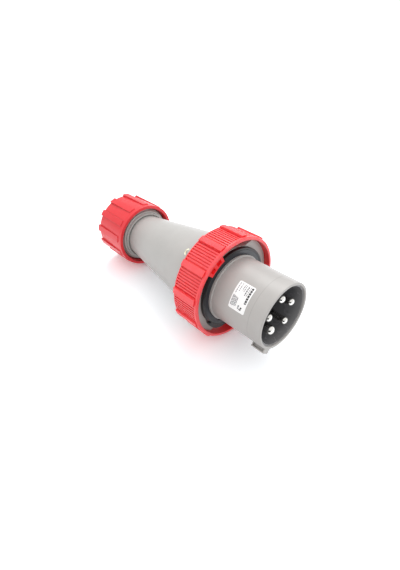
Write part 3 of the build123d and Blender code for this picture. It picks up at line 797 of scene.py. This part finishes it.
# %% [markdown]
# A grid gets rounded corners without any cutting: inside each corner square the points are
# squeezed from the square into a quarter disc. The first half of the tree finds how far
# into a corner square each point lies, 0 to 1 both ways. The grid's cells are half a
# millimetre, fine enough for the corners to look round and the card to follow the shroud.

# %% Rounded card: how far into a corner
CARD_THICKNESS = 0.1
CARD_COLUMNS = 57
CARD_ROWS = 39
CARD_SEAM = 0.001

card, given, out = new_tree(
    "Rounded card",
    "GeometryNodeTree",
    [
        ("Around", "Float", 28.0),
        ("Along", "Float", 19.0),
        ("Corner", "Float", 1.6),
        ("Thickness", "Float", CARD_THICKNESS),
        *ON_SHROUD,
        ("Material", "Material", None),
    ],
    [("Geometry", "Geometry")],
)
flat = add(card, "GeometryNodeMeshGrid", given["Around"], given["Along"], CARD_COLUMNS, CARD_ROWS)
spot = add(card, "GeometryNodeInputPosition")
size = add(card, "ShaderNodeCombineXYZ", given["Around"], given["Along"])
corner = add(card, "ShaderNodeCombineXYZ", given["Corner"], given["Corner"], 1.0)
middle = vector_maths(card, "SUBTRACT", vector_maths(card, "MULTIPLY", size, (0.5, 0.5, 0.0)), corner)
past = vector_maths(card, "SUBTRACT", vector_maths(card, "ABSOLUTE", spot), middle)
past = vector_maths(card, "MAXIMUM", vector_maths(card, "DIVIDE", past, corner), (0.0, 0.0, 0.0))
past = add(card, "ShaderNodeSeparateXYZ", past).outputs
print("the card has", CARD_COLUMNS * CARD_ROWS, "points before it is thickened")

# %% [markdown]
# A point x, y of the corner square goes to x times the root of 1 - y*y/2, and y likewise,
# which bends the square's two outer edges into a quarter circle. All this is worked out for
# one quarter of the card, so the signs of the place come back at the end.

# %% Rounded card: squeeze and roll on
squeeze = []
for other in ("Y", "X"):
    half_square = maths(card, "MULTIPLY", maths(card, "MULTIPLY", past[other], past[other]), 0.5)
    squeeze.append(maths(card, "SQRT", maths(card, "SUBTRACT", 1.0, half_square)))
held = vector_maths(card, "MINIMUM", vector_maths(card, "ABSOLUTE", spot), middle)
in_corner = add(
    card,
    "ShaderNodeCombineXYZ",
    maths(card, "MULTIPLY", maths(card, "MULTIPLY", past["X"], given["Corner"]), squeeze[0]),
    maths(card, "MULTIPLY", maths(card, "MULTIPLY", past["Y"], given["Corner"]), squeeze[1]),
)
quarter = vector_maths(card, "ADD", held, in_corner)
moved = vector_maths(card, "MULTIPLY", quarter, vector_maths(card, "SIGN", spot))
flat = add(card, "GeometryNodeSetPosition", flat, None, moved)
roll_on(card, out, thicken(card, flat, given["Thickness"], CARD_SEAM), given)

# %% [markdown]
# The print is a handful of bars. Each is one point that carries its own size, the tree puts
# a small thickened grid on every point, and the same wrap bends them all. The grids are
# fine enough that a long bar follows the curve.

# %% Group: printed bars
INK_THICKNESS = 0.02
BAR_COLUMNS = 25
BAR_ROWS = 2
BAR_SEAM = 0.0005

bars, given, out = new_tree(
    "Printed bars",
    "GeometryNodeTree",
    [
        ("Geometry", "Geometry", None),
        ("Thickness", "Float", INK_THICKNESS),
        *ON_SHROUD,
        ("Material", "Material", None),
    ],
    [("Geometry", "Geometry")],
)
unit = add(bars, "GeometryNodeMeshGrid", 1.0, 1.0, BAR_COLUMNS, BAR_ROWS)
block = thicken(bars, unit, given["Thickness"], BAR_SEAM)
bar_size = add(bars, "GeometryNodeInputNamedAttribute", "size", data_type="FLOAT_VECTOR")
spread = add(
    bars,
    "GeometryNodeInstanceOnPoints",
    named={"Points": given["Geometry"], "Instance": block, "Scale": bar_size},
)
roll_on(bars, out, add(bars, "GeometryNodeRealizeInstances", spread), given)

# %% [markdown]
# Film and ink: the card is a glossy white film with a trace of speckle, the ink a dark grey
# that thins in specks, as a thermal printer leaves it. The thin rows take a paler grey,
# because fine print always looks paler than bold.

# %% Label finishes
def printed(name, deep, pale, speck, gloss):
    """A flat finish that varies between two tones in specks of this size in mm."""
    material, tree, shader = new_material(name)
    axes = add(tree, "ShaderNodeGroup", node_tree=plug_axes).outputs
    skin = add(tree, "ShaderNodeGroup", axes["Point"], speck, node_tree=moulded_skin).outputs
    feed(tree, shader.inputs["Base Color"], blend_colours(tree, skin["Height"], deep, pale))
    feed(tree, shader.inputs["Roughness"], remap(tree, skin["Smudge"], 0.0, 1.0, *gloss))
    print("finish", name)
    return material


label_film = printed("label_film", colour(251, 251, 250), colour(255, 255, 255), 0.5, (0.30, 0.42))
label_ink = printed("label_ink", colour(26, 26, 28), colour(66, 66, 68), 0.6, (0.35, 0.50))
grey_ink = printed("label_ink_grey", colour(104, 104, 108), colour(140, 140, 144), 0.6, (0.35, 0.50))

# %% [markdown]
# The layout is data: every row says where it starts and ends, how far along the card it
# lies and how tall its bars are, in millimetres, and places are counted from the card's
# middle. A seeded dice cuts each row into uneven bars, which from afar read as print, and
# the same seed gives the same label every time.

# %% Rows of bars
SEED = 5
GAP = 0.45
SHORTEST = 0.5
LENGTH_SHARE = (0.45, 1.0)
dice = random.Random(SEED)


def bar_points(name, rectangles):
    """Mesh of loose points, one to each (x, y, width, height) bar, with its size kept on it."""
    mesh = bpy.data.meshes.new(name)
    mesh.from_pydata([(x, y, 0.0) for x, y, _, _ in rectangles], [], [])
    sizes = mesh.attributes.new("size", "FLOAT_VECTOR", "POINT")
    sizes.data.foreach_set("vector", [v for _, _, w, h in rectangles for v in (w, h, 1.0)])
    return mesh


def dashes(start, end, y, height, longest):
    """A row of bars of uneven length from start to end, none longer than the longest."""
    row = []
    while start < end - SHORTEST:
        length = min(dice.uniform(*LENGTH_SHARE) * longest, end - start)
        row.append((start + length / 2, y, length, height))
        start += length + GAP
    return row


print("bars are cut with seed", SEED)

# %% [markdown]
# The bold row comes first, with two short bars beside it, then the thin rows, then a block
# of rows that gets narrower row by row. The card lies on the shroud and the print lies on
# the card, so the bars are wrapped round a radius larger by the card's thickness.

# %% Lay out and print the label
BOLD_ROW = (-12.6, 4.4, -7.0, 2.2)
BOLD_LONGEST = 2.4
BOLD_EXTRA = [(9.2, -4.6, 1.5, 1.7), (11.0, -3.9, 1.2, 2.4)]
THIN_ROWS = (
    (-12.6, -2.6, -4.7, 0.6),
    (-12.0, -2.2, -2.7, 1.4),
    (-12.6, -5.6, -0.2, 0.7),
    (-12.6, -6.4, 1.6, 0.8),
    (-12.8, -4.4, 4.6, 0.7),
    (-12.6, -1.6, 7.2, 0.7),
    (7.6, 11.2, -1.4, 1.5),
)
THIN_LONGEST = 2.2
BLOCK_ROWS = 5
BLOCK_START = 0.4
BLOCK_END = 11.2
BLOCK_FIRST = 7.6
BLOCK_INSET = 0.3
BLOCK_STEP = 1.35
BLOCK_HEIGHT = 0.85
BLOCK_LONGEST = 3.4
CARD_TOP = SHROUD_RADIUS + CARD_THICKNESS

bold = dashes(*BOLD_ROW, BOLD_LONGEST) + BOLD_EXTRA
thin = []
for row in THIN_ROWS:
    thin += dashes(*row, THIN_LONGEST)
for number in range(BLOCK_ROWS):
    inset = BLOCK_INSET * number
    y = BLOCK_FIRST - BLOCK_STEP * number
    thin += dashes(BLOCK_START + inset, BLOCK_END - inset, y, BLOCK_HEIGHT, BLOCK_LONGEST)
grow("label_card", card, label_film, "plug_body")
grow("label_bold", bars, label_ink, "plug_body", start=bar_points("bold", bold), Radius=CARD_TOP)
grow("label_rows", bars, grey_ink, "plug_body", start=bar_points("rows", thin), Radius=CARD_TOP)

# %% [markdown]
# ## Table, light and air
# The picture is a shop photo: a white table that runs out of sight, soft light from all
# sides and one large soft lamp. Light from all sides is the world's own colour. Light Path
# tells what kind of ray asks for it: a ray that lights things gets it a little stronger,
# and the camera or a mirror sees plain white.

# %% Light from all sides
WHITE = (1, 1, 1, 1)
AIR = 1.08


def seen_directly(tree):
    """1 for camera, glossy and transmission rays, 0 for the rays that light things."""
    rays = add(tree, "ShaderNodeLightPath").outputs
    shown = maths(tree, "MAXIMUM", rays["Is Camera Ray"], rays["Is Glossy Ray"])
    return maths(tree, "MAXIMUM", shown, rays["Is Transmission Ray"])


world = bpy.data.worlds.new("studio")
bpy.context.scene.world = world
world.use_nodes = True
air = world.node_tree
backdrop = air.nodes["Background"].inputs
backdrop["Color"].default_value = WHITE
feed(air, backdrop["Strength"], remap(air, seen_directly(air), 0.0, 1.0, AIR, 1.0))
print("air of strength", AIR)

# %% [markdown]
# The table must look white without being lit white, or the plug would bleach too. So it is
# a light grey for the light that bounces, and overbright only for the camera and for
# mirrors, with a trace of glow. Light still decides how bright each spot is, so the shadow
# stays.

# %% Table
TABLE_SIZE = 14
TABLE_TONE = (0.62, 0.62, 0.62, 1)
TABLE_SEEN = (1.20, 1.24, 1.27, 1)
TABLE_GLOW = 0.02

bpy.ops.mesh.primitive_plane_add(size=TABLE_SIZE)
table = bpy.context.object
table.name = "table"
surface, tree, _ = new_material("table_top")
table.data.materials.append(surface)
shown = seen_directly(tree)
tone = blend_colours(tree, shown, TABLE_TONE, TABLE_SEEN)
paper = add(tree, "ShaderNodeBsdfDiffuse", tone)
glow = add(tree, "ShaderNodeEmission", WHITE, maths(tree, "MULTIPLY", shown, TABLE_GLOW))
both = add(tree, "ShaderNodeAddShader", paper, glow)
feed(tree, tree.nodes["Material Output"].inputs["Surface"], both)
print("table", TABLE_SIZE, "m wide")

# %% [markdown]
# One square lamp, nearly a metre wide, hangs above and behind the plug, so the shadow falls
# towards the viewer. A lamp so large beside so small a thing gives the shadow a soft edge.

# %% Key lamp
KEY_PLACE = Vector((-0.6, 0.8, 1.35))
KEY_AIM = Vector((0.0, 0.0, 0.04))
KEY_SIZE = 0.9
KEY_POWER = 10.5

key = bpy.data.lights.new("key", "AREA")
key.shape = "SQUARE"
key.size = KEY_SIZE
key.energy = KEY_POWER
lamp = bpy.data.objects.new("key", key)
bpy.context.scene.collection.objects.link(lamp)
lamp.location = KEY_PLACE
lamp.rotation_mode = "QUATERNION"
lamp.rotation_quaternion = (KEY_AIM - KEY_PLACE).to_track_quat("-Z", "Y")
print("key lamp", round((KEY_PLACE - KEY_AIM).length, 2), "m from the plug")

# %% [markdown]
# ## A dark card for the pins
# Bright metal shows only what is round it. In a white room it looks like paper, unless
# something dark stands there. So a low dark card stands on the table in front of the plug,
# below the camera. Only mirrors see it: it puts the small dark fleck on each domed pin, and
# it neither shows in the picture nor throws a shadow.

# %% Dark card
UNDER_PINS = Vector((0.128, 0.0, 0.0))
CARD_AWAY = 0.25
CARD_CORNERS = ((-85, 0.0), (-12, 0.0), (-12, 0.135), (-85, 0.20))
NEAR_BLACK = (0.01, 0.01, 0.01, 1)

outline = []
for degrees, height in CARD_CORNERS:
    turn = math.radians(degrees)
    aside = Vector((CARD_AWAY * math.cos(turn), CARD_AWAY * math.sin(turn), height))
    outline.append(UNDER_PINS + aside)
figure = bpy.data.meshes.new("dark_card")
figure.from_pydata(outline, [], [(0, 1, 2, 3)])
dark_card = bpy.data.objects.new("dark_card", figure)
bpy.context.scene.collection.objects.link(dark_card)
black, _, shader = new_material("dark_card")
shader.inputs["Base Color"].default_value = NEAR_BLACK
figure.materials.append(black)
for kind in ("camera", "diffuse", "transmission", "volume_scatter", "shadow"):
    setattr(dark_card, "visible_" + kind, False)
print("dark card", CARD_AWAY, "m from the pins")
